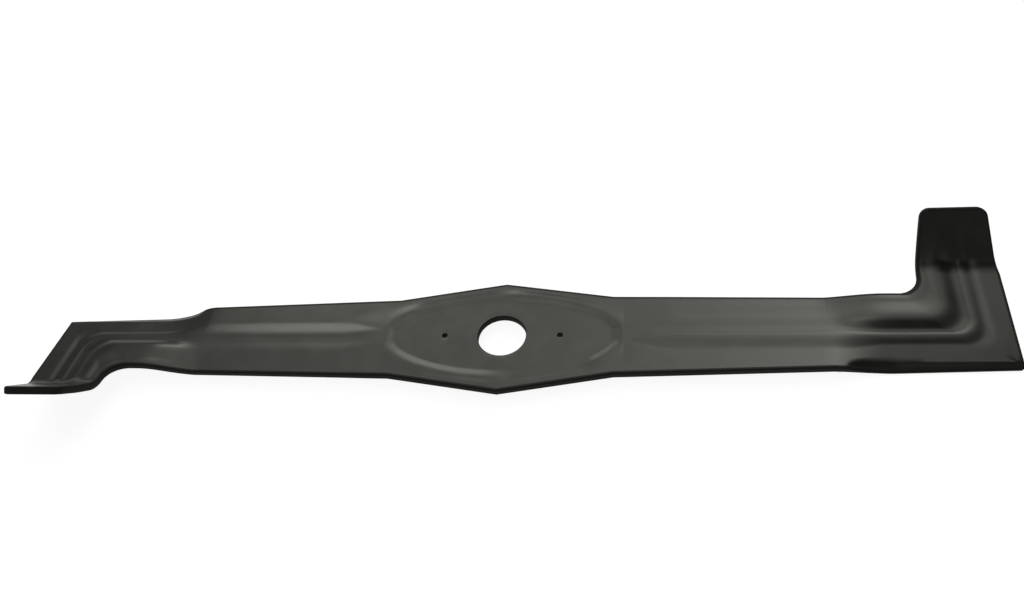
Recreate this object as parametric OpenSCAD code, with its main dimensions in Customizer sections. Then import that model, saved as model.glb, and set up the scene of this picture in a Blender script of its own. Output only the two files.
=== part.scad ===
// Rotary mower blade: one bar of steel plate, blanked, pressed, twisted at the tips and folded up at the ends.
// +X runs along the blade, +Z is up, and the origin is the bore's centre on the upper face of the hub's floor.
// The two halves are alike, half a turn apart, so only the half on +X is laid out, as a flat pattern in u and v
// (u along the blade, v across it, with the leading edge at negative v) that is then pressed, tilted and folded.

/* [Bar] */
// Diameter of the circle that the cutting corners sweep
swing_d = 500; // [440:1:580]
// Thickness of the steel plate
plate_t = 4; // [3:0.1:5.5]

/* [Hub] */
// Width of the hub across its two blunt points
hub_w = 68.6; // [62:0.2:76]
// Length of the hub, from where one arm leaves it to where the other does
hub_l = 114; // [100:1:130]
// Diameter of the centre bore
bore_d = 25; // [16:0.1:32]
// Distance between the centres of the two pin holes
pin_spacing = 60; // [50:0.5:80]
// Diameter of each pin hole
pin_d = 3; // [2:0.1:6]

/* [Ring pressed round the hub's floor] */
// Length of the ring over its crest
ring_l = 118; // [108:1:128]
// Width of the ring over its crest
ring_w = 50; // [44:0.5:54]
// Height of the ring's crest above the hub's floor
ring_h = 0.65; // [0.3:0.05:1.5]
// Part of that height that the ring keeps along the leading side of the hub
ring_low = 0.2; // [0:0.05:1]
// Width of the slope from the crest in to the floor
ring_slope = 5; // [3:0.1:7]
// Depth of the hub's floor below the level of the arms
floor_depth = 0.3; // [0:0.05:1]

/* [Arms] */
// Centre line to leading edge, where the arm leaves the hub
front_root = 24; // [22:0.1:28]
// Centre line to leading edge, where the tip begins
front_end = 20.4; // [19.5:0.1:24]
// Centre line to trailing edge, where the arm leaves the hub
back_root = 25; // [23:0.1:28]
// Centre line to trailing edge, where the wing begins
back_end = 22; // [20:0.1:24]

/* [Bead pressed along the arms] */
// Height of the bead's ridge above the arm
ridge_h = 0.9; // [0.4:0.1:1.4]
// Width of the long slope that climbs to the ridge
ridge_slope = 9; // [6:0.1:11]
// Depth of the shallow valley behind the ridge
valley_h = 0.2; // [0:0.05:0.4]
// Width from the ridge to the far side of the valley
valley_w = 10; // [8:0.1:12]

/* [Tips] */
// Length of the ground cutting edge
cut_l = 61; // [52:1:70]
// Centre line to cutting edge at its inner end
cut_in = 18.9; // [17.5:0.1:20]
// Centre line to cutting edge at the corner
cut_out = 17.2; // [16:0.1:19]
// Length over which the leading edge steps back to the cutting edge
relief_l = 24; // [18:0.5:30]
// Length over which the tip twists
twist_l = 29; // [24:0.5:36]
// Angle of the tips to the arms, leading edge down
tip_tilt = 13.8; // [8:0.1:20]
// Centre line to the line about which the tips twist, on the trailing side
tilt_v = 4; // [2:0.5:8]
// Width of the bevel ground along the cutting edge
bevel_w = 3.2; // [2:0.1:5]
// Thickness left at the cutting edge
land_t = 1.6; // [0.8:0.1:2.4]
// Height of the step that the bead grows into round the corner of the tip
step_h = 2.2; // [1:0.1:3]

/* [Sails] */
// Width of the sail at its fold
sail_w = 39; // [34:0.5:44]
// Width of the sail at its tip
sail_tip_w = 30.5; // [24:0.5:36]
// Length of the sail beyond its fold
sail_l = 24.5; // [15:0.5:35]
// Angle of the sail above the level of the arms
sail_rise = 53.5; // [35:0.5:70]
// Distance along the tilted tip from the wing's fillet to the start of the fold
fold_gap = 0.5; // [0.3:0.1:6]
// Radius of the fold at the middle of the plate
fold_r = 14.5; // [8:0.5:20]
// How far the end edge leans in from the cutting corner to the fold
end_lean = 2.9; // [1:0.1:8]
// How far the sail's outer edge leans in from its fold to its tip
sail_lean = 7.8; // [2:0.1:10]
// Radius of the sail's two corners
sail_corner_r = 4.5; // [2:0.5:8]
// Radius of the fillet between the arm and the wing
wing_fillet = 10; // [6:0.5:13]

/* [Hidden] */

// Places along the half blade
corner_u = sqrt(pow(swing_d / 2, 2) - pow(cut_out, 2));
cut_u = corner_u - cut_l;
notch_u = cut_u - relief_l;
twist_lag = 5;
kink_u = hub_l / 2;
ring_u = ring_l / 2;
ring_fade_l = 10;
ring_end_l = 22;
bead_start_l = 14;
fold_out_u = corner_u - end_lean;
fold_in_u = fold_out_u - sail_w;
leg_gap = 4;
leg_u = fold_in_u - wing_fillet - leg_gap;

// Sizes of the bead round the tip: how far its lines lie from the centre line on the arm side
// and from the cutting corner on the wing side, and the radius at which each one turns
ridge_v = -0.5;
ring_end_v = 5;
floor_end_v = 3;
corner_r = 1;
tip_slope = 5;
tip_ledge = 2.7;
tip_step = 7;
wing_plate = 0.35 * sail_w;
wing_slope = sail_w / 6;
wing_ledge = sail_w / 6;
wing_step = 0.19 * sail_w;
turn_r = 4.5;
edge_strip = bevel_w;

// Fold and sail
fold_v = back_end + wing_fillet + fold_gap;
fold_a = sail_rise - tip_tilt;
fold_l = fold_r * fold_a * PI / 180;
sail_end_v = fold_v + fold_l + sail_l;
bead_end_l = fold_l + sail_l / 2;

function lerp(a, b, f) = a + (b - a) * f;
function unit_step(f) = max(0, min(1, f));
function s_curve(f) = let (c = unit_step(f)) c * c * (3 - 2 * c);
function settle(f) = let (c = unit_step(f)) 1 - (1 - c) * (1 - c);

// Outline of the flat pattern: the leading and trailing edges as distances from the centre line
function front_edge(u) =
    u < kink_u ? lerp(hub_w / 2, front_root, u / kink_u)
    : u < notch_u ? lerp(front_root, front_end, (u - kink_u) / (notch_u - kink_u))
    : u < cut_u ? lerp(front_end, cut_in, settle((u - notch_u) / relief_l))
    : lerp(cut_in, cut_out, (u - cut_u) / cut_l);
function back_edge(u) =
    u < kink_u ? lerp(hub_w / 2, back_root, u / kink_u)
    : lerp(back_root, back_end, (u - kink_u) / (fold_in_u - kink_u));

// Half width of the ring at its crest and of the floor inside it
function lens_half(u, half_l, half_w, end_w) = end_w + (half_w - end_w) * sqrt(max(0, 1 - pow(u / half_l, 2)));
function crest_v(u) = lens_half(u, ring_u, ring_w / 2, ring_end_v);
function floor_v(u) = lens_half(u, ring_u - ring_slope, ring_w / 2 - ring_slope, floor_end_v);

// The nine lines that run the length of the half blade: edge, bevel, foot of the ridge, ridge, valley,
// foot of the step, top of the step, strip along the back edge, back edge
arm_bead = [ridge_v - ridge_slope, ridge_v, ridge_v + valley_w * 0.2, ridge_v + valley_w * 0.4, ridge_v + valley_w];
tip_bead = [
    ridge_v - tip_slope, ridge_v, ridge_v + tip_ledge / 2, ridge_v + tip_ledge, ridge_v + tip_ledge + tip_step
];
function ring_lines(u) = [-crest_v(u), -floor_v(u), 0, floor_v(u), crest_v(u)];
function off_ring(u) = s_curve((u - ring_u) / bead_start_l);
function bead_lines(u) = let (
        ring = ring_lines(u),
        turn = s_curve((u - notch_u) / relief_l)
    ) [for (i = [0:4]) lerp(ring[i], lerp(arm_bead[i], tip_bead[i], turn), off_ring(u))];
function line_v(u) = concat(
    [-front_edge(u), -front_edge(u) + edge_strip],
    bead_lines(u),
    [back_edge(u) - edge_strip, back_edge(u)]
);

// Heights of the nine lines above the flat plate
arm_heights = [0, ridge_h, ridge_h - valley_h, ridge_h - valley_h, ridge_h];
tip_heights = [0, ridge_h, ridge_h - valley_h, ridge_h - valley_h, ridge_h - valley_h + step_h];
strip_share = 0.25;
function with_edges(h, share, back) = concat([0, 0], h, [lerp(back, h[4], share), back]);
function side_part(u) = lerp(ring_low, 1, s_curve((1 + u / ring_fade_l) / 2));
function ring_heights(u) = let (
        end_part = s_curve((u - ring_u + ring_slope) / ring_slope),
        front_part = max(side_part(-u), s_curve((u - ring_u + ring_end_l) * 2 / ring_end_l))
    ) [for (part = [front_part, end_part, end_part, end_part, side_part(u)]) ring_h * part - floor_depth];
function arm_row_heights(u) = let (
        out = off_ring(u),
        turn = s_curve((u - notch_u) / relief_l),
        ring = ring_heights(u)
    ) with_edges([for (i = [0:4]) lerp(ring[i], lerp(arm_heights[i], tip_heights[i], turn), out)], out * strip_share, 0);

// Where each of the nine lines turns from the arm to the wing, and the radius of its turn
turn_u = [
    corner_u,
    corner_u - edge_strip,
    corner_u - wing_plate,
    corner_u - wing_plate - wing_slope,
    corner_u - wing_plate - wing_slope - wing_ledge / 2,
    corner_u - wing_plate - wing_slope - wing_ledge,
    corner_u - wing_plate - wing_slope - wing_ledge - wing_step,
    fold_in_u + edge_strip,
    fold_in_u
];
turn_radius = [corner_r, corner_r, turn_r, turn_r, turn_r, turn_r, turn_r, wing_fillet - 1, wing_fillet];
function turn_v(i) = line_v(turn_u[i] - turn_radius[i])[i];

// Rows of the flat pattern: each is nine points [u, v]
function arm_row(u) = let (v = line_v(u)) [for (i = [0:8]) [u, v[i]]];
function leg_row(f) = [for (i = [0:8]) let (u = lerp(leg_u, turn_u[i] - turn_radius[i], f)) [u, line_v(u)[i]]];
function turn_row(a) = [for (i = [0:8])
    [turn_u[i] - turn_radius[i] * (1 - sin(a)), turn_v(i) + turn_radius[i] * (1 - cos(a))]];
function fold_u(i) = lerp(fold_in_u, fold_out_u, (turn_u[i] - turn_u[8]) / (turn_u[0] - turn_u[8]));
function wing_row(f) = [for (i = [0:8]) let (v = turn_v(i) + turn_radius[i])
    [lerp(turn_u[i], fold_u(i), f), lerp(v, fold_v, f)]];
function corner_inset(left) = left < sail_corner_r
    ? sail_corner_r - sqrt(pow(sail_corner_r, 2) - pow(sail_corner_r - left, 2)) : 0;
function sail_row(v) = let (
        f = (v - fold_v) / (sail_end_v - fold_v),
        inset = corner_inset(sail_end_v - v),
        outer = fold_out_u - sail_lean * f - inset,
        inner = lerp(fold_in_u, fold_out_u - sail_lean - sail_tip_w, f) + inset
    ) [for (i = [0:8]) [lerp(inner, outer, (fold_u(i) - fold_in_u) / sail_w), v]];

// Number of facets along each stretch of the half blade
ring_steps = 14;
start_steps = 4;
arm_steps = 5;
twist_steps = 9;
leg_steps = 4;
turn_steps = 6;
wing_steps = 5;
bevel_end = (bevel_w - corner_r) / (fold_v + cut_out - corner_r);
fold_steps = 6;
sail_steps = 3;
round_steps = 5;

round_v = sail_end_v - sail_corner_r;
sail_vs = concat(
    [for (i = [1:fold_steps]) fold_v + fold_l * i / fold_steps],
    [for (i = [1:sail_steps]) lerp(fold_v + fold_l, round_v, i / sail_steps)],
    [for (i = [1:round_steps]) round_v + sail_corner_r * sin(90 * i / round_steps)]
);
arm_us = concat(
    [for (i = [0:ring_steps]) ring_u * sin(90 * i / ring_steps)],
    [for (i = [1:start_steps]) ring_u + bead_start_l * i / start_steps],
    [for (i = [1:arm_steps]) lerp(ring_u + bead_start_l, notch_u - twist_lag, i / arm_steps)],
    [for (i = [0:twist_steps]) lerp(notch_u, leg_u, i / twist_steps)]
);
flat_rows = concat(
    [for (u = arm_us) arm_row(u)],
    [for (i = [1:leg_steps]) leg_row(i / leg_steps)],
    [for (i = [1:turn_steps]) turn_row(90 * i / turn_steps)],
    [for (i = [0:wing_steps]) wing_row(lerp(bevel_end, 1, i / wing_steps))],
    [for (v = sail_vs) sail_row(v)]
);
height_rows = concat(
    [for (u = arm_us) arm_row_heights(u)],
    [for (i = [1:leg_steps]) with_edges(tip_heights, strip_share, 0)],
    [for (i = [1:turn_steps]) with_edges(tip_heights, strip_share, tip_heights[4] * s_curve(i / turn_steps))],
    [for (i = [0:wing_steps]) with_edges(tip_heights, strip_share, tip_heights[4])],
    [for (v = sail_vs) with_edges(tip_heights, strip_share, tip_heights[4]) * (1 - s_curve((v - fold_v) / bead_end_l))]
);

// Points between the nine lines: straight in the plan, an S-curve in height
line_steps = [1, 2, 4, 1, 1, 4, 2, 1];
function refine(row, heights) = concat(
    [for (i = [0:7]) for (k = [0:line_steps[i] - 1]) let (f = k / line_steps[i], p = lerp(row[i], row[i + 1], f))
        [p.x, p.y, lerp(heights[i], heights[i + 1], s_curve(f))]],
    [[row[8].x, row[8].y, heights[8]]]
);
pattern = [for (i = [0:len(flat_rows) - 1]) refine(flat_rows[i], height_rows[i])];
last_row = len(pattern) - 1;
last_line = len(pattern[0]) - 1;

// Twist and fold: a point of the pressed pattern in its place on the blade
function tilt(u, v) = tip_tilt * (v < tilt_v
    ? settle((u - notch_u) / twist_l) : s_curve((u - notch_u + twist_lag) / (twist_l + twist_lag)));
function bent(u, v, h) = let (
        a = tilt(u, v),
        over = max(0, v - fold_v),
        b = a + min(fold_a, over / fold_r * 180 / PI),
        run = min(v, fold_v) - tilt_v,
        straight = max(0, over - fold_l)
    ) [
        u,
        tilt_v + run * cos(a) + fold_r * (sin(b) - sin(a)) + straight * cos(b) - h * sin(b),
        run * sin(a) + fold_r * (cos(a) - cos(b)) + straight * sin(b) + h * cos(b)
    ];

// Metal ground off the upper face at each point of the pattern
function ground(u, v) = let (
        on = s_curve((u - notch_u) / relief_l),
        left = unit_step((v + front_edge(u)) / bevel_w)
    ) on * (plate_t - land_t) * (1 - left);

half = [for (row = pattern) [for (p = row) bent(p.x, p.y, p.z)]];
half_ground = [for (row = pattern) [for (p = row) ground(p.x, p.y)]];

// The whole middle surface, from the tip on -X to the tip on +X
function half_turn(p) = [-p.x, -p.y, p.z];
middle = concat(
    [for (i = [last_row:-1:1]) [for (j = [last_line:-1:0]) half_turn(half[i][j])]],
    half
);
cuts = concat(
    [for (i = [last_row:-1:1]) [for (j = [last_line:-1:0]) half_ground[i][j]]],
    half_ground
);
rows = len(middle);
lines = last_line + 1;

// Upper and lower skins, half a thickness to each side of the middle surface
function normal(i, j) = let (
        along = middle[min(i + 1, rows - 1)][j] - middle[max(i - 1, 0)][j],
        across = middle[i][min(j + 1, lines - 1)] - middle[i][max(j - 1, 0)],
        n = cross(along, across)
    ) n / norm(n);
seat_z = floor_depth - plate_t / 2;
normals = [for (i = [0:rows - 1]) [for (j = [0:lines - 1]) normal(i, j)]];
top_skin = [for (i = [0:rows - 1]) for (j = [0:lines - 1])
    middle[i][j] + normals[i][j] * (plate_t / 2 - cuts[i][j]) + [0, 0, seat_z]];
bottom_skin = [for (i = [0:rows - 1]) for (j = [0:lines - 1])
    middle[i][j] - normals[i][j] * plate_t / 2 + [0, 0, seat_z]];

// Facets, wound clockwise as seen from outside
under = rows * lines;
function at(i, j) = i * lines + j;
function two(a, b, c, d) = [[a, b, d], [b, c, d]];
skin_faces = [for (i = [0:rows - 2]) for (j = [0:lines - 2])
    each concat(
        two(at(i, j), at(i, j + 1), at(i + 1, j + 1), at(i + 1, j)),
        two(under + at(i, j), under + at(i + 1, j), under + at(i + 1, j + 1), under + at(i, j + 1))
    )];
side_faces = [for (i = [0:rows - 2]) let (m = lines - 1)
    each concat(
        two(at(i, 0), at(i + 1, 0), under + at(i + 1, 0), under + at(i, 0)),
        two(at(i, m), under + at(i, m), under + at(i + 1, m), at(i + 1, m))
    )];
end_faces = [for (j = [0:lines - 2]) let (m = rows - 1)
    each concat(
        two(at(0, j), under + at(0, j), under + at(0, j + 1), at(0, j + 1)),
        two(at(m, j), at(m, j + 1), under + at(m, j + 1), under + at(m, j))
    )];

module hole(d) {
    translate([0, 0, -plate_t - 1])
        cylinder(d = d, h = plate_t + 2, $fn = 96);
}

module blade() {
    color("dimgray")
        difference() {
            polyhedron(points = concat(top_skin, bottom_skin), faces = concat(skin_faces, side_faces, end_faces));
            hole(bore_d);
            for (side = [-1, 1])
                translate([side * pin_spacing / 2, 0, 0])
                    hole(pin_d);
        }
}

blade();
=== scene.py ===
import math

import bpy
import numpy as np
from bpy.props import FloatProperty, FloatVectorProperty, PointerProperty, StringProperty
from mathutils import Matrix, Vector


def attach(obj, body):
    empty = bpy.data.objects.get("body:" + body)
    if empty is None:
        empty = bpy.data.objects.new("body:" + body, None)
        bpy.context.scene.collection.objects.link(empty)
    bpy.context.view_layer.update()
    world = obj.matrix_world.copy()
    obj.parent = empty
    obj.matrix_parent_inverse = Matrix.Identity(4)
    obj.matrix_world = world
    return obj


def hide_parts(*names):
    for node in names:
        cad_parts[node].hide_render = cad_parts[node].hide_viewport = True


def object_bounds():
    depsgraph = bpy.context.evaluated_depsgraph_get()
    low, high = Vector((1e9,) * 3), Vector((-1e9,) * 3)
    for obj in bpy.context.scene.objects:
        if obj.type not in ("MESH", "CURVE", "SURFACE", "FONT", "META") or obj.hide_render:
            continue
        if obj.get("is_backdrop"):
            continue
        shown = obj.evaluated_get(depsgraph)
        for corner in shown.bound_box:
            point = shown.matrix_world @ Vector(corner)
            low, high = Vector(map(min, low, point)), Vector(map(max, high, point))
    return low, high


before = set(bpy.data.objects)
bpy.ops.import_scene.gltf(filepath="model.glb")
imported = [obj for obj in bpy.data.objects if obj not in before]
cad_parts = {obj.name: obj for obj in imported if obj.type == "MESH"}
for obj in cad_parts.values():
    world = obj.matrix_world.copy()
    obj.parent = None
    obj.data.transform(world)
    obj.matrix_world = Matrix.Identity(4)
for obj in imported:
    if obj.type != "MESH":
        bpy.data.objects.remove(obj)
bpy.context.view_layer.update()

bl_info = {
    "name": "Rotary Mower Blade",
    "version": (1, 0, 0),
    "blender": (4, 5, 0),
    "location": "View3D > Sidebar > Mower Blade",
    "description": "Builds a pressed steel mower blade with its finish, and a plain studio round it",
    "category": "Object",
}

# One millimetre in Blender's metres
MM = 0.001
# Width in pixels of the picture that the camera frames
PICTURE_WIDTH = 1024


def length(name, description, millimetres):
    """Property for a length, written in millimetres."""
    metres = millimetres * MM
    return FloatProperty(name=name, description=description, default=metres, unit="LENGTH", precision=5)


def angle(name, description, degrees):
    """Property for an angle, written in degrees."""
    radians = math.radians(degrees)
    return FloatProperty(name=name, description=description, default=radians, subtype="ANGLE")


def fraction(name, description, share):
    """Property for a share between none and all."""
    return FloatProperty(
        name=name, description=description, default=share, min=0.0, max=1.0, subtype="FACTOR"
    )


def amount(name, description, value):
    """Property for a plain number that is never negative."""
    return FloatProperty(name=name, description=description, default=value, min=0.0)


def hex_colour(name, description, code):
    """Property for an sRGB colour, written as a hex value."""
    return StringProperty(name=name, description=description, default=code)


class BladeSizes(bpy.types.PropertyGroup):
    """Sizes of the blade, as its plate was cut, pressed, twisted and folded"""

    swing_d: length("Swing diameter", "Diameter of the circle that the cutting corners sweep", 500)
    plate_t: length("Plate thickness", "Thickness of the steel plate", 4)
    edge_round: length("Edge rounding", "Radius that blanking leaves along the plate's edges", 0.95)
    hub_w: length("Hub width", "Width of the hub across its two blunt points", 68.6)
    hub_l: length("Hub length", "Length of the hub between the roots of the arms", 114)
    bore_d: length("Bore diameter", "Diameter of the centre bore", 25)
    pin_spacing: length("Pin spacing", "Distance between the centres of the pin holes", 60)
    pin_d: length("Pin hole diameter", "Diameter of each pin hole", 3)
    bore_round: length("Bore edge rounding", "Radius at each mouth of the bore", 0.35)
    pin_round: length("Pin hole edge rounding", "Radius at each mouth of a pin hole", 0.05)
    ring_l: length("Ring length", "Length of the pressed ring over its crest", 124)
    ring_w: length("Ring width", "Width of the pressed ring over its crest", 53)
    ring_h: length("Ring height", "Height of the ring's crest above the hub's floor", 0.78)
    ring_low: fraction("Low ring", "Part of its height that the ring keeps on the leading side", 0.2)
    ring_slope: length("Ring slope", "Width of the slope from the crest in to the floor", 5.6)
    floor_depth: length("Floor depth", "Depth of the hub's floor below the arms", 0.3)
    front_root: length("Leading edge at the root", "Centre line to leading edge at the hub", 24)
    front_end: length("Leading edge at the tip", "Centre line to leading edge where the tip begins", 20.4)
    back_root: length("Trailing edge at the root", "Centre line to trailing edge at the hub", 25)
    back_end: length("Trailing edge at the wing", "Centre line to trailing edge where the wing begins", 22)
    ridge_h: length("Ridge height", "Height of the bead's ridge above the arm", 0.9)
    ridge_slope: length("Ridge slope", "Width of the long slope that climbs to the ridge", 9)
    valley_h: length("Valley depth", "Depth of the shallow valley behind the ridge", 0.2)
    valley_w: length("Valley width", "Width from the ridge to the far side of the valley", 10)
    cut_l: length("Cutting edge length", "Length of the ground cutting edge", 61)
    cut_in: length("Cutting edge, inner end", "Centre line to cutting edge at its inner end", 18.9)
    cut_out: length("Cutting edge, corner", "Centre line to cutting edge at the corner", 17.2)
    relief_l: length("Relief length", "Length over which the leading edge steps back", 24)
    twist_l: length("Twist length", "Length over which the tip twists", 29)
    tip_tilt: angle("Tip tilt", "Angle of the tips to the arms, leading edge down", 13.8)
    tilt_v: length("Twist line", "Centre line to the line about which the tips twist", 4)
    bevel_w: length("Bevel width", "Width of the bevel at the cutting corner", 3.2)
    land_t: length("Land", "Thickness left at the cutting edge", 1.6)
    step_h: length("Step height", "Height of the step that the bead grows into", 1.7)
    groove_h: length("Groove depth", "Depth of the groove along the wing", 0.5)
    sail_w: length("Sail width", "Width of the sail at its fold", 39)
    sail_tip_w: length("Sail tip width", "Width of the sail at its tip", 30.5)
    sail_l: length("Sail length", "Length of the sail beyond its fold", 24.5)
    sail_rise: angle("Sail rise", "Angle of the sail above the level of the arms", 53.5)
    fold_gap: length("Fold gap", "Distance from the wing's fillet to the fold", 0.5)
    fold_r: length("Fold radius", "Radius of the fold at the middle of the plate", 14.5)
    end_lean: length("End lean", "How far the end edge leans in from the corner to the fold", 2.9)
    sail_lean: length("Sail lean", "How far the sail's outer edge leans in to its tip", 7.8)
    sail_corner_r: length("Sail corner radius", "Radius of the sail's corners", 4.5)
    wing_fillet: length("Wing fillet", "Radius of the fillet between the arm and the wing", 10)


class BladeFinish(bpy.types.PropertyGroup):
    """Finish of the blade's steel, with a darker colour painted on its edges as shade"""

    dark: hex_colour("Dark coat", "Colour of the coat where it is thick", "#41413e")
    light: hex_colour("Light coat", "Colour of the coat where it is thin", "#4b4b48")
    # Painted shade: a darker colour laid on the sheared edges, the holes' walls and the faces' outermost
    # strips, for the dark contour along the edges
    edge: hex_colour("Edge coat", "Colour of the coat on the sheared edges and in the holes", "#2c2c2a")
    glance: hex_colour("Glancing tint", "Sheen that the matt coat keeps at a glancing angle", "#d8d8d8")
    roughness: fraction("Roughness", "Roughness of the satin coat", 0.3)
    edge_roughness: fraction("Edge roughness", "Roughness of the sheared edges and the holes' walls", 0.7)
    mottle: length("Mottle", "Size of the cloudy patches in the coat", 14)
    grain: length("Grain", "Size of the coat's grain, drawn coarser than it is so that it shows", 0.9)


class StudioLight(bpy.types.PropertyGroup):
    """Camera, floor and light"""

    floor: hex_colour("Floor", "Colour of the floor", "#787876")
    floor_glow: amount("Floor glow", "How much white the floor adds to the light that falls on it", 0.91)
    sky: amount("Sky", "Strength of the light from all round", 1.0)
    azimuth: angle("Camera azimuth", "Direction of the camera round the blade", 12.526)
    elevation: angle("Camera elevation", "Height of the camera above the blade's level", 50.372)
    roll: angle("Camera roll", "Turn of the camera about its own axis", -10.319)
    distance: length("Camera distance", "Distance from the camera to the point it looks at", 466.04)
    look_at: FloatVectorProperty(
        name="Look at",
        description="Point that the camera looks at",
        default=(0.003488, 0.022978, 0.0),
        unit="LENGTH",
    )
    focal_px: amount("Focal length", "Focal length of the camera in pixels of its picture", 877.57)


# Shares of the sail's width that the plate, groove, slope, ledge and step take up on the wing
WING_BANDS = (0.24, 0.13, 0.11, 0.11, 0.25)
# Bead round the tip, in millimetres: place of its ridge, and widths of its rim, slope, ledge and step
RIDGE_V, RIM_GAP, TIP_SLOPE, TIP_LEDGE, TIP_STEP = -0.5, 3.7, 5.0, 2.7, 6.6
# Lines of the bead between the plate's two edge strips
BEAD_LINES = 6
# Places of its last lines over the arm's valley and over the tip's ledge, as shares of their widths
VALLEY_SHARES, LEDGE_SHARES = (0, 0.2, 0.4, 1), (0, 0.5, 1)
# Radius in millimetres at which the bead turns the corner, and the cutting corner's own
TURN_R, CORNER_R = 9.5, 1.0
# How much tighter than the wing's fillet the line inside it turns, in millimetres
FILLET_INSET = 1.0
# Half widths of the ring and of the floor inside it where they end, in millimetres
RING_END_V, FLOOR_END_V = 5.0, 3.0
# How pointed the ring's ends are: one half gives an ellipse, and one gives a lens of two arcs
RING_LENS = 0.65
# Place of the rim line outside the ring, as a share of the way from the ring's crest to the edge strip
RING_RIM = 0.9
# Lengths in millimetres over which the ring fades, closes round its end and hands over to the bead
RING_FADE_L, RING_END_L, BEAD_START_L = 10.0, 22.0, 24.0
# Lengths in millimetres: how early the twist starts, the gap before the wing's turn,
# how far beyond the notch the bevel starts, and over what length it reaches its depth
TWIST_LAG, LEG_GAP, GRIND_GAP, GRIND_L = 2.0, 4.0, 3.0, 12.0
# How abruptly the twist starts: none is a smooth start, and one is a crease
TWIST_BITE = 0.4
# Share of the step's height at the trailing edge of the tip and of the wing, and in the strip beside it
TIP_BACK, WING_BACK, STRIP_SHARE = 0.2, 0.6, 0.25
# Facets across the plate between its ten lines, and along each stretch of half the blade
ACROSS_STEPS = (3, 2, 6, 12, 4, 4, 12, 8, 3)
RING_STEPS, START_STEPS, ARM_STEPS, LAG_STEPS, TWIST_STEPS, LEG_STEPS = 40, 14, 14, 4, 32, 8
TURN_STEPS, WING_STEPS, FOLD_STEPS, SAIL_STEPS, ROUND_STEPS = 16, 16, 16, 8, 8
# Facets over a quarter turn of a rounded edge, and round each hole
RIM_STEPS, HOLE_SEGMENTS = 4, 128
# Share of the edge rounding that is left under the ground cutting edge
GROUND_FOOT = 0.3
# How far the tool that cuts a hole stands out of the plate, in millimetres
CUTTER_REACH = 1.0
# Angle between two facets, in degrees, from which their edge shows as sharp
SHARP_EDGE = 28
# Sizes of the blade that are angles or shares
NOT_LENGTHS = {"tip_tilt", "sail_rise", "ring_low"}
# How much of the painted edge shade, the darker edge colour, reaches the outermost strip of the plate's two
# faces
EDGE_SHADE = 0.75


def lerp(a, b, f):
    """Value a share of the way from one to another."""
    return a + (b - a) * f


def unit_step(f):
    """Share held between none and all."""
    return max(0.0, min(1.0, f))


def s_curve(f):
    """Share that starts and ends smoothly."""
    c = unit_step(f)
    return c * c * (3 - 2 * c)


def settle(f):
    """Share that starts steeply and ends smoothly."""
    c = unit_step(f)
    return 1 - (1 - c) * (1 - c)


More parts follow.
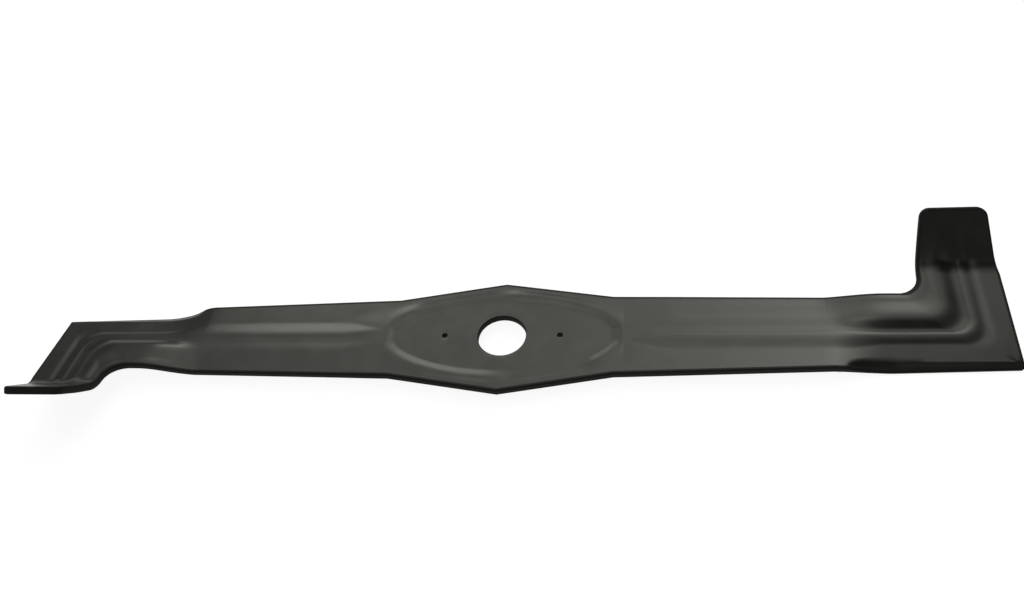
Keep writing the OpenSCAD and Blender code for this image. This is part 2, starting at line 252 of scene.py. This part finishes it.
class HalfPattern:
    """Flat pattern of the half blade on +X, in millimetres.

    u runs along it and v across it, with the leading edge at negative v. The outline is drawn in by the
    edge rounding, and the rounded rim is added outside it."""

    def __init__(self, sizes):
        for name in BladeSizes.__annotations__:
            value = getattr(sizes, name)
            setattr(self, name, value if name in NOT_LENGTHS else value / MM)
        inset = self.edge_round
        self.corner_u = math.sqrt((self.swing_d / 2) ** 2 - self.cut_out**2)
        self.cut_u = self.corner_u - self.cut_l
        self.notch_u = self.cut_u - self.relief_l
        self.kink_u = self.hub_l / 2
        self.ring_u = self.ring_l / 2
        self.fold_out_u = self.corner_u - self.end_lean - inset
        self.fold_in_u = self.corner_u - self.end_lean - self.sail_w + inset
        self.leg_u = self.fold_in_u - inset - self.wing_fillet - LEG_GAP
        self.fold_v = self.back_end + self.wing_fillet + self.fold_gap
        self.fold_a = self.sail_rise - self.tip_tilt
        self.fold_l = self.fold_r * self.fold_a
        self.sail_end_v = self.fold_v + self.fold_l + self.sail_l
        self.bead_end_l = self.fold_l + self.sail_l / 2
        ridge = self.ridge_h
        valley = self.ridge_h - self.valley_h
        sunk = self.groove_h + ridge / 2
        self.arm_heights = (0.0, 0.0, ridge, valley, valley, ridge)
        self.tip_heights = (0.0, 0.0, ridge, valley, valley, valley + self.step_h)
        wing_bead = [h - sunk for h in (ridge, valley, valley, valley + self.step_h)]
        self.wing_heights = (0.0, -self.groove_h, *wing_bead)
        reaches = [sum(WING_BANDS[: k + 1]) for k in range(len(WING_BANDS))]
        bands = [self.corner_u - self.sail_w * reach for reach in reaches]
        plate_u, groove_u, ridge_u, ledge_u, step_u = bands
        self.turn_u = (
            self.corner_u - inset,
            self.corner_u - self.bevel_w,
            plate_u,
            groove_u,
            ridge_u,
            (ridge_u + ledge_u) / 2,
            ledge_u,
            step_u,
            self.fold_in_u - inset + self.bevel_w,
            self.fold_in_u,
        )
        self.turn_radius = (
            CORNER_R - inset,
            CORNER_R,
            *[TURN_R] * BEAD_LINES,
            self.wing_fillet - FILLET_INSET,
            self.wing_fillet + inset,
        )

    def front_edge(self, u):
        """Distance from the centre line to the leading edge."""
        if u < self.kink_u:
            return lerp(self.hub_w / 2, self.front_root, u / self.kink_u)
        if u < self.notch_u:
            return lerp(self.front_root, self.front_end, (u - self.kink_u) / (self.notch_u - self.kink_u))
        if u < self.cut_u:
            return lerp(self.front_end, self.cut_in, settle((u - self.notch_u) / self.relief_l))
        return lerp(self.cut_in, self.cut_out, (u - self.cut_u) / self.cut_l)

    def back_edge(self, u):
        """Distance from the centre line to the trailing edge."""
        if u < self.kink_u:
            return lerp(self.hub_w / 2, self.back_root, u / self.kink_u)
        end_u = self.fold_in_u - self.edge_round
        return lerp(self.back_root, self.back_end, (u - self.kink_u) / (end_u - self.kink_u))

    def off_ring(self, u):
        """How far the ring has handed over to the bead along the arm."""
        return s_curve((u - self.ring_u) / BEAD_START_L)

    def on_tip(self, u):
        """How far the arm's bead has become the tip's."""
        return s_curve((u - self.notch_u) / self.relief_l)

    def on_bevel(self, u):
        """How far the bevel has reached its depth."""
        return settle((u - self.notch_u - GRIND_GAP) / GRIND_L)

    def front_strip(self, u):
        """Width of the strip along the leading edge, which the bevel fills on the tip."""
        bevel_v = self.cut_out - self.bevel_w
        return lerp(self.bevel_w, self.front_edge(u) - bevel_v, self.on_bevel(u))

    def bead_lines(self, u):
        """Places across the plate of the six lines between the two edge strips."""

        def half(half_l, half_w, end_w):
            return end_w + (half_w - end_w) * max(0.0, 1 - (u / half_l) ** 2) ** RING_LENS

        crest = half(self.ring_u, self.ring_w / 2, RING_END_V)
        floor = half(self.ring_u - self.ring_slope, self.ring_w / 2 - self.ring_slope, FLOOR_END_V)
        rim = lerp(crest, self.front_edge(u) - self.bevel_w, RING_RIM)
        ring = (-rim, -crest, -floor, 0.0, floor, crest)
        foot, tip_foot = RIDGE_V - self.ridge_slope, RIDGE_V - TIP_SLOPE
        arm = [foot - RIM_GAP, foot] + [RIDGE_V + self.valley_w * f for f in VALLEY_SHARES]
        tip = [tip_foot - RIM_GAP, tip_foot] + [RIDGE_V + TIP_LEDGE * f for f in LEDGE_SHARES]
        tip.append(RIDGE_V + TIP_LEDGE + TIP_STEP)
        out, turn = self.off_ring(u), self.on_tip(u)
        return [lerp(r, lerp(a, t, turn), out) for r, a, t in zip(ring, arm, tip)]

    def line_v(self, u):
        """Places across the plate of all ten lines."""
        front, back = self.front_edge(u), self.back_edge(u)
        first = [-front + self.edge_round, -front + self.front_strip(u)]
        return first + self.bead_lines(u) + [back - self.bevel_w, back - self.edge_round]

    def ring_heights(self, u):
        """Heights of the bead's lines where they form the ring."""

        def side(place):
            return lerp(self.ring_low, 1, s_curve((1 + place / RING_FADE_L) / 2))

        end = s_curve((u - self.ring_u + self.ring_slope) / self.ring_slope)
        front = max(side(-u), s_curve((u - self.ring_u + RING_END_L) * 2 / RING_END_L))
        heights = [self.ring_h * share - self.floor_depth for share in (front, end, end, end, side(u))]
        return [heights[0] * (1 - s_curve(RING_RIM)), *heights]

    def with_edges(self, heights, back, share):
        """Heights of all ten lines from those of the bead."""
        last = heights[-1]
        return [0.0, 0.0, *heights, last * lerp(back, 1, share), last * back]

    def arm_row(self, u):
        """Row of points across the hub or the arm, and its heights."""
        out, turn = self.off_ring(u), self.on_tip(u)
        bead = [lerp(a, t, turn) for a, t in zip(self.arm_heights, self.tip_heights)]
        heights = [lerp(r, b, out) for r, b in zip(self.ring_heights(u), bead)]
        row = [(u, v) for v in self.line_v(u)]
        return row, self.with_edges(heights, TIP_BACK * turn, out * STRIP_SHARE)

    def round_heights(self, f):
        """Heights of the lines on the way from the tip to the wing."""
        on = s_curve(f)
        heights = [lerp(t, w, on) for t, w in zip(self.tip_heights, self.wing_heights)]
        return self.with_edges(heights, lerp(TIP_BACK, WING_BACK, on), STRIP_SHARE)

    def leg_row(self, f):
        """Row on the tip just before its lines turn, and its heights."""
        row = []
        for i, radius in enumerate(self.turn_radius):
            u = lerp(self.leg_u, self.turn_u[i] - radius, f)
            row.append((u, self.line_v(u)[i]))
        return row, self.round_heights(0)

    def turn_v(self, i):
        """Place across the plate where a line starts to turn."""
        return self.line_v(self.turn_u[i] - self.turn_radius[i])[i]

    def turn_row(self, f):
        """Row where the lines turn from the tip into the wing, and its heights."""
        sin, cos = math.sin(math.pi / 2 * f), math.cos(math.pi / 2 * f)
        row = []
        for i, radius in enumerate(self.turn_radius):
            row.append((self.turn_u[i] - radius * (1 - sin), self.turn_v(i) + radius * (1 - cos)))
        return row, self.round_heights(f)

    def fold_share(self, i):
        """Place of a line along the fold, from its inner end to its outer one."""
        outer, inner = self.turn_u[0], self.turn_u[-1]
        return (self.turn_u[i] - inner) / (outer - inner)

    def wing_row(self, f):
        """Row on the wing between the turn and the fold, and its heights."""
        row = []
        for i, radius in enumerate(self.turn_radius):
            v = self.turn_v(i) + radius
            fold_u = lerp(self.fold_in_u, self.fold_out_u, self.fold_share(i))
            row.append((lerp(self.turn_u[i], fold_u, f), lerp(v, self.fold_v, f)))
        return row, self.round_heights(1)

    def sail_row(self, v):
        """Row on the fold or the sail, and its heights."""
        f = (v - self.fold_v) / (self.sail_end_v - self.fold_v)
        radius = self.sail_corner_r - self.edge_round
        left = self.sail_end_v - self.edge_round - v
        short = max(0.0, radius - left)
        inset = radius - math.sqrt(max(0.0, radius**2 - short**2))
        outer = self.fold_out_u - self.sail_lean * f - inset
        tip_in = self.corner_u - self.end_lean - self.sail_lean - self.sail_tip_w + self.edge_round
        inner = lerp(self.fold_in_u, tip_in, f) + inset
        fade = 1 - s_curve((v - self.fold_v) / self.bead_end_l)
        row = [(lerp(inner, outer, self.fold_share(i)), v) for i in range(len(self.turn_u))]
        return row, [h * fade for h in self.round_heights(1)]

    def rows(self):
        """Every row of the half blade, from its middle to the sail's tip."""
        ring_end = self.ring_u + BEAD_START_L
        arm_end = self.notch_u - TWIST_LAG
        places = [self.ring_u * math.sin(math.pi / 2 * i / RING_STEPS) for i in range(RING_STEPS + 1)]
        places += [self.ring_u + BEAD_START_L * (i + 1) / START_STEPS for i in range(START_STEPS)]
        places += [lerp(ring_end, arm_end, (i + 1) / ARM_STEPS) for i in range(ARM_STEPS)]
        places += [lerp(arm_end, self.notch_u, i / LAG_STEPS) for i in range(1, LAG_STEPS)]
        places += [lerp(self.notch_u, self.leg_u, i / TWIST_STEPS) for i in range(TWIST_STEPS + 1)]
        rows = [self.arm_row(u) for u in places]
        rows += [self.leg_row((i + 1) / LEG_STEPS) for i in range(LEG_STEPS)]
        rows += [self.turn_row((i + 1) / TURN_STEPS) for i in range(TURN_STEPS)]
        bevel_end = (self.bevel_w - CORNER_R) / (self.fold_v + self.cut_out - CORNER_R)
        rows += [self.wing_row(lerp(bevel_end, 1, i / WING_STEPS)) for i in range(WING_STEPS + 1)]
        fold_end = self.fold_v + self.fold_l
        round_start = self.sail_end_v - self.sail_corner_r
        round_l = self.sail_corner_r - self.edge_round
        heights = [lerp(self.fold_v, fold_end, (i + 1) / FOLD_STEPS) for i in range(FOLD_STEPS)]
        heights += [lerp(fold_end, round_start, (i + 1) / SAIL_STEPS) for i in range(SAIL_STEPS)]
        turns = [math.pi / 2 * (i + 1) / ROUND_STEPS for i in range(ROUND_STEPS)]
        heights += [round_start + round_l * math.sin(turn) for turn in turns]
        return rows + [self.sail_row(v) for v in heights]

    def tilt(self, u):
        """Angle through which the plate is twisted."""
        f = (u - self.notch_u + TWIST_LAG) / (self.twist_l + TWIST_LAG)
        return self.tip_tilt * lerp(s_curve(f), settle(f), TWIST_BITE)

    def bent(self, u, v, h):
        """A point of the pressed pattern in its place on the blade."""
        a = self.tilt(u)
        over = max(0.0, v - self.fold_v)
        b = a + min(self.fold_a, over / self.fold_r)
        run = min(v, self.fold_v) - self.tilt_v
        straight = max(0.0, over - self.fold_l)
        y = self.tilt_v + run * math.cos(a) + self.fold_r * (math.sin(b) - math.sin(a))
        z = run * math.sin(a) + self.fold_r * (math.cos(a) - math.cos(b))
        y += straight * math.cos(b) - h * math.sin(b)
        z += straight * math.sin(b) + h * math.cos(b)
        return u, y, z

    def ground(self, u, v):
        """Depth ground off the upper face for the cutting bevel."""
        left = unit_step((v + self.front_edge(u)) / self.front_strip(u))
        return self.on_bevel(u) * (self.plate_t - self.land_t) * (1 - left)


def plate_grid(half):
    """Flat pattern and middle surface of the whole blade, as rows of points from one sail to the other."""
    flat, middle = [], []
    for places, heights in half.rows():
        line = []
        for i, steps in enumerate(ACROSS_STEPS):
            for k in range(steps):
                f = k / steps
                u, v = (lerp(places[i][n], places[i + 1][n], f) for n in (0, 1))
                line.append((u, v, lerp(heights[i], heights[i + 1], s_curve(f))))
        line.append((*places[-1], heights[-1]))
        flat.append([(u, v) for u, v, h in line])
        middle.append([half.bent(*p) for p in line])
    flat, middle = np.array(flat), np.array(middle)
    turned = middle[:0:-1, ::-1] * (-1, -1, 1)
    return np.concatenate([flat[:0:-1, ::-1], flat]), np.concatenate([turned, middle])


def unit(vectors):
    """The same directions at a length of one."""
    return vectors / np.linalg.norm(vectors, axis=-1, keepdims=True)


def plate_normals(middle):
    """Unit normals of a grid of points, from their neighbours along and across it."""
    padded = np.pad(middle, ((1, 1), (1, 1), (0, 0)), mode="edge")
    along = padded[2:, 1:-1] - padded[:-2, 1:-1]
    across = padded[1:-1, 2:] - padded[1:-1, :-2]
    return unit(np.cross(along, across))


def edge_loop(rows, lines):
    """Places in the grid all along its outer edge."""
    loop = [(i, 0) for i in range(rows)]
    loop += [(rows - 1, j) for j in range(1, lines)]
    loop += [(i, lines - 1) for i in range(rows - 2, -1, -1)]
    return loop + [(0, j) for j in range(lines - 2, 0, -1)]


def rim_profile(half, ground, cut):
    """Section of the rim between the two skins, as distances outward and heights.

    It is round where the edge was sheared, and goes on with the bevel where it was ground."""
    radius, thick = half.edge_round, half.plate_t / 2
    sharp = cut / (half.plate_t - half.land_t)
    profile = []
    for k in range(1, RIM_STEPS + 1):
        f = k / RIM_STEPS
        turn = math.pi / 2 * f
        out = lerp(radius * math.sin(turn), radius * f, sharp)
        drop = lerp(radius * (1 - math.cos(turn)), (cut - ground) * f, sharp)
        profile.append((out, thick - ground - drop))
    foot = radius * lerp(1, GROUND_FOOT, sharp)
    for k in range(RIM_STEPS):
        turn = math.pi / 2 * k / RIM_STEPS
        profile.append((radius * math.cos(turn), -thick + foot * (1 - math.sin(turn))))
    return profile


def plate_mesh(half):
    """Closed mesh of the blade without its holes: two skins and a rounded rim, in metres."""
    flat, middle = plate_grid(half)
    normals = plate_normals(middle)
    rows, lines = middle.shape[:2]
    ground = np.array([[half.ground(u, v) for u, v in row] for row in flat])
    thick = half.plate_t / 2
    seat = np.array((0, 0, half.floor_depth - thick))
    top = middle + normals * (thick - ground)[..., None] + seat
    bottom = middle - normals * thick + seat
    points = [*top.reshape(-1, 3), *bottom.reshape(-1, 3)]
    # The lower skin's points follow the upper skin's
    under = rows * lines
    # coat holds each face's share of the darker edge colour, painted shade for the dark contour along the
    # edges: part on the outermost strip of each skin
    faces, coat = [], []
    for i in range(rows - 1):
        for j in range(lines - 1):
            a, b = i * lines + j, (i + 1) * lines + j
            faces.append((a, b, b + 1, a + 1))
            faces.append((under + a, under + a + 1, under + b + 1, under + b))
            by_edge = j in (0, lines - 2) or i in (0, rows - 2)
            coat += [EDGE_SHADE if by_edge else 0.0] * 2

    loop = edge_loop(rows, lines)
    at = tuple(np.array(loop).T)
    edge, edge_normal, edge_flat = middle[at], normals[at], flat[at]
    tangent = np.roll(edge, -1, axis=0) - np.roll(edge, 1, axis=0)
    outward = unit(np.cross(tangent, edge_normal))
    flat_tangent = np.roll(edge_flat, -1, axis=0) - np.roll(edge_flat, 1, axis=0)
    flat_out = unit(np.stack([flat_tangent[:, 1], -flat_tangent[:, 0]], axis=1))
    # Each ring goes round the rim from the upper skin to the lower one
    rings = []
    for n, (i, j) in enumerate(loop):
        u, v = edge_flat[n] + flat_out[n] * half.edge_round
        ring = [i * lines + j]
        for out, height in rim_profile(half, ground[i, j], half.ground(u, v)):
            ring.append(len(points))
            points.append(edge[n] + outward[n] * out + edge_normal[n] * height + seat)
        ring.append(under + i * lines + j)
        rings.append(ring)
    for here, after in zip(rings, rings[1:] + rings[:1]):
        for k in range(len(here) - 1):
            faces.append((here[k], here[k + 1], after[k + 1], after[k]))
            # The rounded rim's faces take the full darker edge colour as painted shade
            coat.append(1.0)
    mesh = bpy.data.meshes.new("blade_steel")
    mesh.from_pydata([tuple(p * MM) for p in points], [], faces)
    edge_coat(mesh, coat)
    mesh.validate()
    return mesh


def edge_coat(mesh, shares):
    """Marks how far each face belongs to a sheared edge or a hole's wall, where a darker colour is painted
    on as shade.
    """
    marks = mesh.attributes.new("edge_coat", "FLOAT", "FACE")
    marks.data.foreach_set("value", shares)


def hole_cutter(diameter, mouth, plate_t, place):
    """Tool that cuts a round hole with rounded mouths through the hub's floor."""
    radius, low = diameter / 2, -plate_t
    turns = [math.pi / 2 * k / RIM_STEPS for k in range(RIM_STEPS + 1)]
    rounding = [(radius + mouth * (1 - math.sin(t)), mouth * (1 - math.cos(t))) for t in turns]
    profile = [(radius + mouth, CUTTER_REACH)]
    profile += [(r, -depth) for r, depth in rounding]
    profile += [(r, low + depth) for r, depth in reversed(rounding)]
    profile.append((radius + mouth, low - CUTTER_REACH))
    points, faces = [], []
    for s in range(HOLE_SEGMENTS):
        turn = 2 * math.pi * s / HOLE_SEGMENTS
        for r, z in profile:
            points.append(((place + r * math.cos(turn)) * MM, r * math.sin(turn) * MM, z * MM))
    count = len(profile)
    for s in range(HOLE_SEGMENTS):
        a, b = s * count, (s + 1) % HOLE_SEGMENTS * count
        for k in range(count - 1):
            faces.append((a + k, a + k + 1, b + k + 1, b + k))
    faces.append([s * count for s in range(HOLE_SEGMENTS)])
    faces.append([s * count + count - 1 for s in reversed(range(HOLE_SEGMENTS))])
    mesh = bpy.data.meshes.new("hole_cutter")
    mesh.from_pydata(points, [], faces)
    # The cutter's faces become the holes' walls, which take the darker edge colour as painted shade
    edge_coat(mesh, [1.0] * len(faces))
    return place_object("hole_cutter", mesh)


def place_object(name, data):
    """Puts an object with its data into the scene."""
    made = bpy.data.objects.new(name, data)
    bpy.context.scene.collection.objects.link(made)
    return made


def cut_holes(blade, cutters):
    """Cuts the holes and keeps the result in the blade's own mesh."""
    for cutter in cutters:
        cut = blade.modifiers.new("hole", "BOOLEAN")
        cut.operation = "DIFFERENCE"
        cut.solver = "EXACT"
        cut.object = cutter
    bpy.context.view_layer.update()
    depsgraph = bpy.context.evaluated_depsgraph_get()
    solid = bpy.data.meshes.new_from_object(blade.evaluated_get(depsgraph))
    blade.modifiers.clear()
    old, blade.data = blade.data, solid
    bpy.data.meshes.remove(old)
    for cutter in cutters:
        spent = cutter.data
        bpy.data.objects.remove(cutter)
        bpy.data.meshes.remove(spent)


def linear(code):
    """Linear colour of an sRGB hex value."""
    channels = [int(code[k : k + 2], 16) / 255 for k in (1, 3, 5)]
    return (*[c / 12.92 if c <= 0.04045 else ((c + 0.055) / 1.055) ** 2.4 for c in channels], 1.0)


def add_node(tree, kind, inputs, **settings):
    """Adds a node with its settings, and fills its sockets with values or with links from other sockets."""
    node = tree.nodes.new(kind)
    for name, value in settings.items():
        setattr(node, name, value)
    for name, value in inputs.items():
        if isinstance(value, bpy.types.NodeSocket):
            tree.links.new(value, node.inputs[name])
        else:
            node.inputs[name].default_value = value
    return node


def empty_tree(owner):
    """Node tree of a material or a world, with nothing in it."""
    owner.use_nodes = True
    owner.node_tree.nodes.clear()
    return owner.node_tree


# Bump of the coat's grain: its strength, and its height in metres
GRAIN_STRENGTH, GRAIN_HEIGHT = 0.12, 0.05 * MM
# Stretch of the cloudy pattern over which the coat's roughness changes, and by how much either way
CLOUD_LOW, CLOUD_HIGH, SATIN_SPREAD = 0.3, 0.7, 0.03
# Places of the two colours and of their mixture among a Mix node's sockets
MIX_FIRST, MIX_SECOND, MIX_RESULT = 6, 7, 2


def phosphated_steel(finish):
    """Pressed spring steel, hardened and given a dark phosphate coat.

    The coat is a satin, slightly olive grey. It mirrors the studio as a broad soft sheen, it is cloudy
    where it is thicker, its fine grain breaks the sheen up, and it is duller on the sheared edges and in
    the holes, where a darker colour is also painted on as shade."""
    material = bpy.data.materials.new("phosphated_spring_steel")
    tree = empty_tree(material)
    place = add_node(tree, "ShaderNodeTexCoord", {}).outputs["Object"]
    clouds = add_node(
        tree,
        "ShaderNodeTexNoise",
        {"Vector": place, "Scale": 1 / finish.mottle, "Detail": 3.0, "Roughness": 0.55},
    ).outputs["Fac"]
    coat = add_node(
        tree,
        "ShaderNodeMix",
        {"Factor": clouds, MIX_FIRST: linear(finish.dark), MIX_SECOND: linear(finish.light)},
        data_type="RGBA",
    )
    on_edge = add_node(tree, "ShaderNodeAttribute", {}, attribute_name="edge_coat").outputs["Fac"]
    # Painted shade: the faces marked on the sheared edges, their outer strips and the holes' walls take the
    # darker edge colour
    shade = add_node(
        tree,
        "ShaderNodeMix",
        {"Factor": on_edge, MIX_FIRST: coat.outputs[MIX_RESULT], MIX_SECOND: linear(finish.edge)},
        data_type="RGBA",
    )
    grain = add_node(
        tree,
        "ShaderNodeTexNoise",
        {"Vector": place, "Scale": 1 / finish.grain, "Detail": 2.0, "Roughness": 0.5},
    ).outputs["Fac"]
    bump = add_node(
        tree, "ShaderNodeBump", {"Height": grain, "Strength": GRAIN_STRENGTH, "Distance": GRAIN_HEIGHT}
    )
    satin = add_node(
        tree,
        "ShaderNodeMapRange",
        {
            "Value": clouds,
            "From Min": CLOUD_LOW,
            "From Max": CLOUD_HIGH,
            "To Min": finish.roughness - SATIN_SPREAD,
            "To Max": finish.roughness + SATIN_SPREAD,
        },
    )
    roughness = add_node(
        tree,
        "ShaderNodeMapRange",
        {"Value": on_edge, "To Min": satin.outputs["Result"], "To Max": finish.edge_roughness},
    )
    shader = add_node(
        tree,
        "ShaderNodeBsdfPrincipled",
        {
            "Base Color": shade.outputs[MIX_RESULT],
            "Metallic": 1.0,
            "Roughness": roughness.outputs["Result"],
            "Specular Tint": linear(finish.glance),
            "Normal": bump.outputs["Normal"],
        },
    )
    add_node(tree, "ShaderNodeOutputMaterial", {"Surface": shader.outputs["BSDF"]})
    return material


def studio_floor(light):
    """Matt white card: a plain bright ground that keeps the blade's soft shadow."""
    material = bpy.data.materials.new("matt_white_card")
    tree = empty_tree(material)
    card = add_node(tree, "ShaderNodeBsdfDiffuse", {"Color": linear(light.floor)})
    path = add_node(tree, "ShaderNodeLightPath", {})
    seen = add_node(
        tree,
        "ShaderNodeMath",
        {0: path.outputs["Is Camera Ray"], 1: path.outputs["Is Glossy Ray"]},
        operation="MAXIMUM",
    )
    shown = add_node(
        tree,
        "ShaderNodeMath",
        {0: seen.outputs[0], 1: path.outputs["Is Transmission Ray"]},
        operation="MAXIMUM",
    )
    strength = add_node(
        tree, "ShaderNodeMath", {0: shown.outputs[0], 1: light.floor_glow}, operation="MULTIPLY"
    )
    glow = add_node(
        tree, "ShaderNodeEmission", {"Color": linear("#ffffff"), "Strength": strength.outputs[0]}
    )
    both = add_node(tree, "ShaderNodeAddShader", {0: card.outputs["BSDF"], 1: glow.outputs["Emission"]})
    add_node(tree, "ShaderNodeOutputMaterial", {"Surface": both.outputs["Shader"]})
    return material


# Half the floor's width, in metres
FLOOR_REACH = 40.0
# Light from all round: an axis that points high behind the blade, and how bright the sky is from the
# direction opposite to it, at 0, to the axis itself, at 1
SKY_AXIS = (0.2, 0.4, 0.9)
SKY_STOPS = (
    (0.0, 0.05),
    (0.475, 0.05),
    (0.75, 0.35),
    (0.836, 0.45),
    (0.903, 0.9),
    (0.954, 0.9),
    (0.98, 0.78),
    (1.0, 0.65),
)
# Soft lights in it: the direction of each, how narrow it is as a power of the cosine, and its strength.
# The first is high behind on the right, the second overhead, and the last three are dim ones in front
SOFT_LIGHTS = (
    ((0.36, 0.6, 0.71), 22, 2.9),
    ((-0.1, 0.1, 0.99), 60, 1.6),
    ((-0.15, -0.68, 0.72), 25, 0.6),
    ((0.78, -0.56, 0.28), 30, 0.6),
    ((-0.72, -0.62, 0.32), 10, 0.45),
)
# Black cards that take light away, in the same form: on the right, and high in front
BLACK_CARDS = (
    ((0.85, 0.1, 0.5), 6, 1.2),
    ((0.3, -0.4, 0.86), 20, 0.5),
)
# Light that is left in the darkest part of the studio
DARKEST = 0.06
# Softbox behind the blade, in metres: its middle, the point it faces, and its width and height,
# with how bright its face is
SOFTBOX_PLACE = (-0.245, 0.5, 0.33)
SOFTBOX_AIM = (-0.08, 0.0, 0.0)
SOFTBOX_SIZE = (0.36, 0.17)
SOFTBOX_LEVEL = 3.4


def studio_sky(light):
    """Soft light from high behind the blade, with soft lights and black cards in it, dim in front."""
    world = bpy.data.worlds.new("studio_sky")
    tree = empty_tree(world)
    direction = add_node(tree, "ShaderNodeTexCoord", {}).outputs["Generated"]
    along = add_node(
        tree,
        "ShaderNodeVectorMath",
        {0: direction, 1: Vector(SKY_AXIS).normalized()},
        operation="DOT_PRODUCT",
    )
    share = add_node(
        tree, "ShaderNodeMapRange", {"Value": along.outputs["Value"], "From Min": -1.0, "From Max": 1.0}
    )
    ramp = add_node(tree, "ShaderNodeValToRGB", {"Fac": share.outputs["Result"]})
    stops = ramp.color_ramp.elements
    while len(stops) < len(SKY_STOPS):
        stops.new(0.5)
    for stop, (place, brightness) in zip(stops, SKY_STOPS):
        stop.position = place
        stop.color = (brightness, brightness, brightness, 1.0)
    total = add_node(tree, "ShaderNodeRGBToBW", {"Color": ramp.outputs["Color"]}).outputs["Val"]
    cards = [(axis, narrow, -strength) for axis, narrow, strength in BLACK_CARDS]
    for axis, narrow, strength in (*SOFT_LIGHTS, *cards):
        cosine = add_node(
            tree,
            "ShaderNodeVectorMath",
            {0: direction, 1: Vector(axis).normalized()},
            operation="DOT_PRODUCT",
        )
        facing = add_node(
            tree, "ShaderNodeMath", {0: cosine.outputs["Value"], 1: 0.0}, operation="MAXIMUM"
        )
        spread = add_node(
            tree, "ShaderNodeMath", {0: facing.outputs[0], 1: narrow}, operation="POWER"
        )
        sum_up = add_node(
            tree, "ShaderNodeMath", {0: spread.outputs[0], 1: strength, 2: total}, operation="MULTIPLY_ADD"
        )
        total = sum_up.outputs[0]
    lowest = add_node(tree, "ShaderNodeMath", {0: total, 1: DARKEST}, operation="MAXIMUM")
    power = add_node(
        tree, "ShaderNodeMath", {0: lowest.outputs[0], 1: light.sky}, operation="MULTIPLY"
    )
    glow = add_node(
        tree, "ShaderNodeBackground", {"Color": linear("#ffffff"), "Strength": power.outputs[0]}
    )
    add_node(tree, "ShaderNodeOutputWorld", {"Surface": glow.outputs["Background"]})
    return world


def softbox():
    """Wide soft lamp near the blade, for the slopes along the hub and the left arm that face the back."""
    width, height = SOFTBOX_SIZE
    data = bpy.data.lights.new("softbox", "AREA")
    data.shape = "RECTANGLE"
    data.size = width
    data.size_y = height
    data.energy = SOFTBOX_LEVEL * math.pi * width * height
    lamp = place_object("softbox", data)
    lamp.visible_camera = False
    away = Vector(SOFTBOX_PLACE) - Vector(SOFTBOX_AIM)
    turn = away.to_track_quat("Z", "Y").to_matrix().to_4x4()
    lamp.matrix_world = Matrix.Translation(SOFTBOX_PLACE) @ turn


class MOWER_OT_blade(bpy.types.Operator):
    """Build the blade from its sizes and give it its coat"""

    bl_idname = "mower.blade"
    bl_label = "Blade"

    def execute(self, context):
        half = HalfPattern(context.scene.blade_sizes)
        blade = place_object("blade_plate", plate_mesh(half))
        cutters = [hole_cutter(half.bore_d, half.bore_round, half.plate_t, 0.0)]
        for pin_u in (-half.pin_spacing / 2, half.pin_spacing / 2):
            cutters.append(hole_cutter(half.pin_d, half.pin_round, half.plate_t, pin_u))
        cut_holes(blade, cutters)
        blade.data.shade_smooth()
        blade.data.set_sharp_from_angle(angle=math.radians(SHARP_EDGE))
        blade.data.materials.clear()
        blade.data.materials.append(phosphated_steel(context.scene.blade_finish))
        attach(blade, "root")
        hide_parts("blade")
        return {"FINISHED"}


class MOWER_OT_stage(bpy.types.Operator):
    """Set up the floor, the light and the camera"""

    bl_idname = "mower.stage"
    bl_label = "Studio"

    def execute(self, context):
        light = context.scene.studio_light
        floor_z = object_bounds()[0].z
        sides = ((-1, -1), (1, -1), (1, 1), (-1, 1))
        corners = [(x * FLOOR_REACH, y * FLOOR_REACH, floor_z) for x, y in sides]
        mesh = bpy.data.meshes.new("floor")
        mesh.from_pydata(corners, [], [(0, 1, 2, 3)])
        mesh.materials.append(studio_floor(light))
        place_object("floor", mesh)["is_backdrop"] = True
        context.scene.world = studio_sky(light)
        softbox()
        self.camera(context, light)
        context.scene.view_settings.view_transform = "Standard"
        return {"FINISHED"}

    def camera(self, context, light):
        """Camera at the viewing angle, with its focal length in pixels of the picture."""
        data = bpy.data.cameras.new("camera")
        data.sensor_fit = "HORIZONTAL"
        data.lens = light.focal_px * data.sensor_width / PICTURE_WIDTH
        a, e, r = light.azimuth, light.elevation, light.roll
        back = Vector((math.sin(a) * math.cos(e), -math.cos(a) * math.cos(e), math.sin(e)))
        level_right = Vector((math.cos(a), math.sin(a), 0.0))
        level_up = back.cross(level_right)
        right = level_right * math.cos(r) + level_up * math.sin(r)
        up = level_up * math.cos(r) - level_right * math.sin(r)
        pose = Matrix((right, up, back)).transposed().to_4x4()
        pose.translation = Vector(light.look_at) + back * light.distance
        camera = place_object("camera", data)
        camera.matrix_world = pose
        context.scene.camera = camera


class MOWER_PT_panel(bpy.types.Panel):
    """Sizes and steps of the mower blade"""

    bl_idname = "MOWER_PT_panel"
    bl_label = "Mower Blade"
    bl_space_type = "VIEW_3D"
    bl_region_type = "UI"
    bl_category = "Mower Blade"

    def draw(self, context):
        scene = context.scene
        for group in (scene.blade_sizes, scene.blade_finish, scene.studio_light):
            for name in group.__annotations__:
                self.layout.prop(group, name)
        for step in STEPS:
            self.layout.operator(step.bl_idname)


STEPS = (MOWER_OT_blade, MOWER_OT_stage)
CLASSES = (BladeSizes, BladeFinish, StudioLight, *STEPS, MOWER_PT_panel)


def register():
    for cls in CLASSES:
        bpy.utils.register_class(cls)
    bpy.types.Scene.blade_sizes = PointerProperty(type=BladeSizes)
    bpy.types.Scene.blade_finish = PointerProperty(type=BladeFinish)
    bpy.types.Scene.studio_light = PointerProperty(type=StudioLight)


def unregister():
    del bpy.types.Scene.studio_light
    del bpy.types.Scene.blade_finish
    del bpy.types.Scene.blade_sizes
    for cls in reversed(CLASSES):
        bpy.utils.unregister_class(cls)


def main():
    register()
    bpy.ops.mower.blade()
    bpy.ops.mower.stage()


if __name__ == "__main__":
    main()
